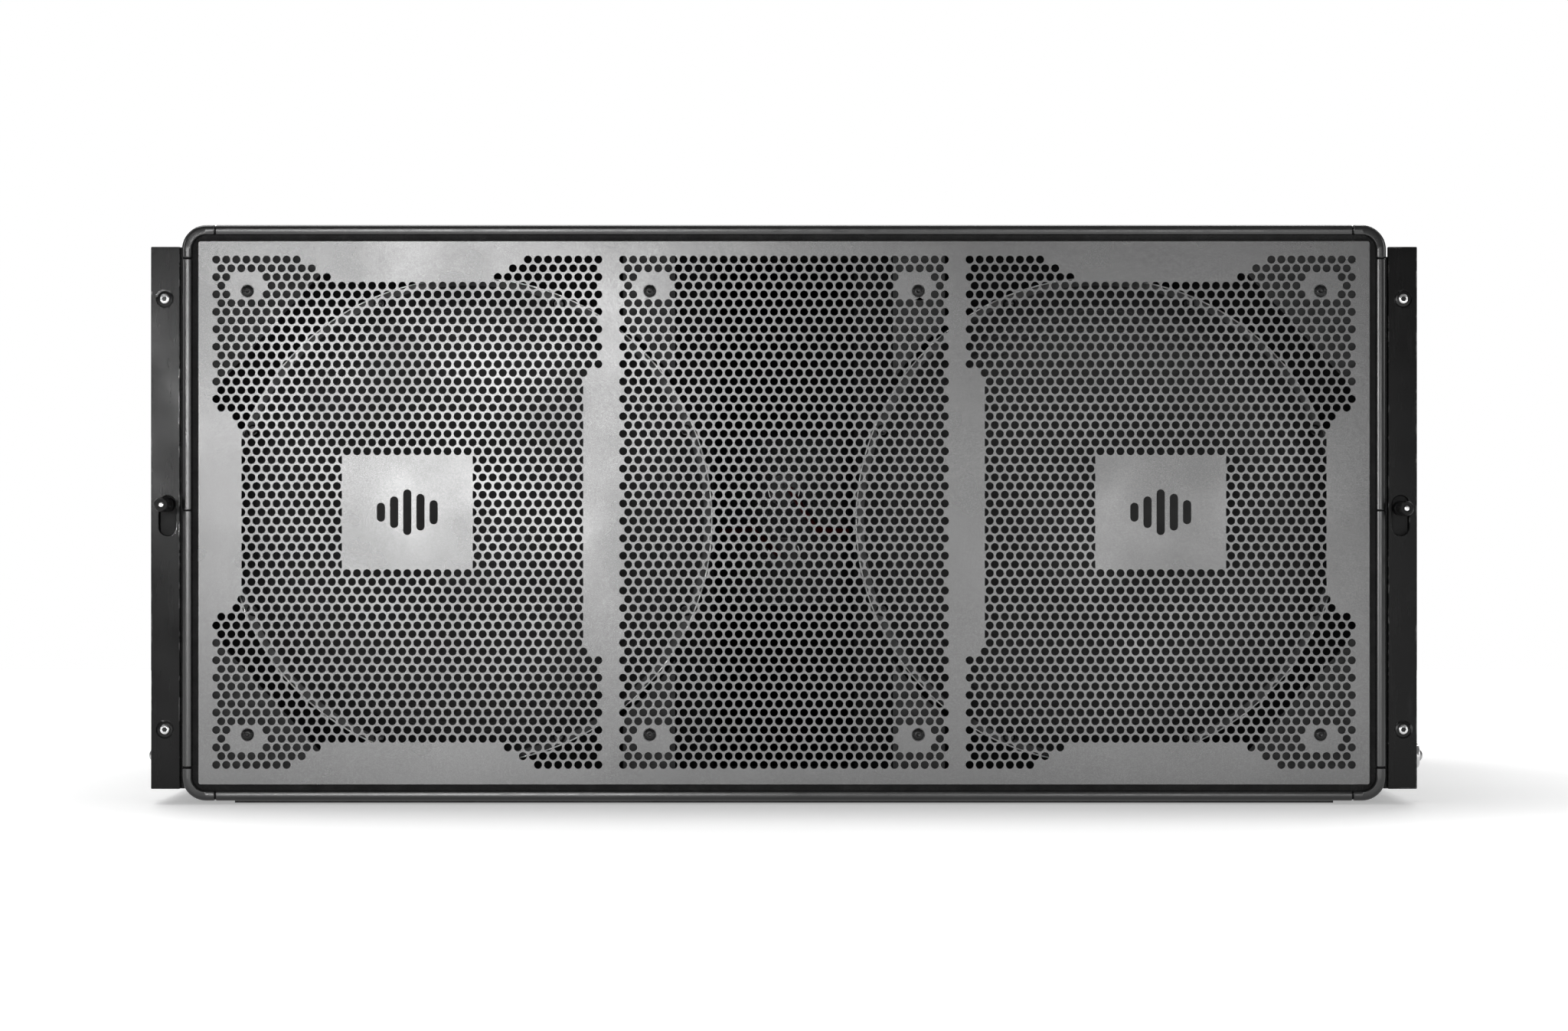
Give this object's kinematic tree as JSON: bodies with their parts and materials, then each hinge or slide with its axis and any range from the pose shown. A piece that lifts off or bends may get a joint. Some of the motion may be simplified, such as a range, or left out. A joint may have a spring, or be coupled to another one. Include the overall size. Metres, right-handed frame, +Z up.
{
  "type": "line array subwoofer",
  "caption": "Wide flyable bass loudspeaker box: perforated steel grille over cone drivers and a tall port, with steel rigging frames, link bars and quick-release pins at its sides.",
  "frame": {"origin": "centre of the bounding box, on the floor under the skids", "axes": "+X to the right seen from the front, -Y out of the front grille, +Z up"},
  "size_m": [1.023, 0.754, 0.456],
  "materials": {
    "cabinet_paint": "black textured two-part paint on plywood",
    "baffle_paint": "flat black paint on plywood",
    "birch_ply": "bare birch plywood",
    "wadding": "loose polyester wadding",
    "trim_plastic": "satin black moulding",
    "grille_steel": "grey satin powder coat",
    "black_screws": "black oxide",
    "skid_plastic": "black nylon",
    "frame_steel": "black satin powder coat",
    "socket_plastic": "black moulded plastic",
    "zinc_screws": "bright zinc plate",
    "wire_jacket": "flexible jacket",
    "cast_basket": "black coated casting",
    "magnet": "dark coated magnet",
    "motor_steel": "plated steel",
    "gasket_rubber": "closed cell rubber",
    "terminal_plastic": "moulded plastic",
    "link_steel": "zinc plated bar",
    "pin_steel": "ground stainless steel",
    "pin_button": "dark anodised",
    "knob_black": "black moulded knob on a steel slide",
    "cone_paper": "pulp paper, coated",
    "coil_copper": "copper winding on a former",
    "surround_cloth": "doped rippled cloth",
    "spider_cloth": "resin-dipped cloth"
  },
  "bodies": {
    "box": {"top_panel": "cabinet_paint", "bottom_panel": "cabinet_paint", "side_panel_left": "cabinet_paint", "side_panel_right": "cabinet_paint", "rear_panel": "cabinet_paint", "front_baffle": "baffle_paint", "port_walls": "baffle_paint", "internal_braces": "birch_ply", "grille_blocks": "baffle_paint", "damping_lining": "wadding", "corner_caps": "trim_plastic", "edge_trims": "trim_plastic", "grille": "grille_steel", "grille_screws": "black_screws", "skid_runners": "skid_plastic", "input_plate": "frame_steel", "speaker_sockets": "socket_plastic", "input_plate_screws": "zinc_screws", "hookup_wires": "wire_jacket", "basket_left": "cast_basket", "basket_right": "cast_basket", "driver_magnets": "magnet", "motor_plates": "motor_steel", "surround_left": "surround_cloth", "surround_right": "surround_cloth", "spider_left": "spider_cloth", "spider_right": "spider_cloth", "driver_gaskets": "gasket_rubber", "driver_bolts": "black_screws", "driver_terminals": "terminal_plastic", "side_frame_left": "frame_steel", "side_frame_right": "frame_steel", "mount_plate_left": "frame_steel", "mount_plate_right": "frame_steel", "frame_spacers": "motor_steel", "frame_bolts": "black_screws", "flange_screws": "zinc_screws", "guide_blocks": "skid_plastic", "link_bolts": "black_screws", "handle_cups": "trim_plastic"},
    "left_cone": {"cone_left": "cone_paper", "dust_cap_left": "cone_paper", "voice_coil_left": "coil_copper"},
    "right_cone": {"cone_right": "cone_paper", "dust_cap_right": "cone_paper", "voice_coil_right": "coil_copper"},
    "left_latch": {"latch_left": "knob_black"},
    "right_latch": {"latch_right": "knob_black"},
    "left_front_link": {"front_link_left": "link_steel"},
    "right_front_link": {"front_link_right": "link_steel"},
    "left_rear_link": {"rear_link_left": "link_steel"},
    "right_rear_link": {"rear_link_right": "link_steel"},
    "left_front_pin": {"front_pin_left": "pin_steel"},
    "right_front_pin": {"front_pin_right": "pin_steel"},
    "left_rear_pin": {"rear_pin_left": "pin_steel"},
    "right_rear_pin": {"rear_pin_right": "pin_steel"},
    "left_front_button": {"front_button_left": "pin_button"},
    "right_front_button": {"front_button_right": "pin_button"},
    "left_rear_button": {"rear_button_left": "pin_button"},
    "right_rear_button": {"rear_button_right": "pin_button"}
  },
  "joints": [
    {"name": "left_cone_travel", "type": "slide", "parent": "box", "child": "left_cone", "axis": [0, -1, 0], "range_m": [-0.008, 0.008], "stiffness_N_per_m": 7250, "deforming": ["surround_left", "spider_left"]},
    {"name": "right_cone_travel", "type": "slide", "parent": "box", "child": "right_cone", "axis": [0, -1, 0], "range_m": [-0.008, 0.008], "stiffness_N_per_m": 7250, "deforming": ["surround_right", "spider_right"]},
    {"name": "left_latch_slide", "type": "slide", "parent": "box", "child": "left_latch", "axis": [0, 0, 1], "range_m": [-0.018, 0]},
    {"name": "right_latch_slide", "type": "slide", "parent": "box", "child": "right_latch", "axis": [0, 0, 1], "range_m": [-0.015, 0.003]},
    {"name": "left_front_link_slide", "type": "slide", "parent": "box", "child": "left_front_link", "axis": [0, 0, 1], "range_m": [0, 0.082]},
    {"name": "right_front_link_slide", "type": "slide", "parent": "box", "child": "right_front_link", "axis": [0, 0, 1], "range_m": [0, 0.082]},
    {"name": "left_rear_link_pivot", "type": "hinge", "parent": "box", "child": "left_rear_link", "pos_m": [-0.4865, 0.333, 0.392], "axis": [-1, 0, 0], "range_deg": [0, 180]},
    {"name": "right_rear_link_pivot", "type": "hinge", "parent": "box", "child": "right_rear_link", "pos_m": [0.4865, 0.333, 0.392], "axis": [-1, 0, 0], "range_deg": [0, 180]},
    {"name": "left_front_pin_pull", "type": "slide", "parent": "box", "child": "left_front_pin", "axis": [-1, 0, 0], "range_m": [0, 0.04]},
    {"name": "right_front_pin_pull", "type": "slide", "parent": "box", "child": "right_front_pin", "axis": [1, 0, 0], "range_m": [-0.003, 0.04]},
    {"name": "left_rear_pin_pull", "type": "slide", "parent": "box", "child": "left_rear_pin", "axis": [-1, 0, 0], "range_m": [-0.003, 0.04]},
    {"name": "right_rear_pin_pull", "type": "slide", "parent": "box", "child": "right_rear_pin", "axis": [1, 0, 0], "range_m": [-0.003, 0.04]},
    {"name": "left_front_button_press", "type": "slide", "parent": "left_front_pin", "child": "left_front_button", "axis": [1, 0, 0], "range_m": [0, 0.003], "stiffness_N_per_m": 600},
    {"name": "right_front_button_press", "type": "slide", "parent": "right_front_pin", "child": "right_front_button", "axis": [-1, 0, 0], "range_m": [0, 0.003], "stiffness_N_per_m": 600},
    {"name": "left_rear_button_press", "type": "slide", "parent": "left_rear_pin", "child": "left_rear_button", "axis": [1, 0, 0], "range_m": [0, 0.003], "stiffness_N_per_m": 600},
    {"name": "right_rear_button_press", "type": "slide", "parent": "right_rear_pin", "child": "right_rear_button", "axis": [-1, 0, 0], "range_m": [0, 0.003], "stiffness_N_per_m": 600}
  ]
}
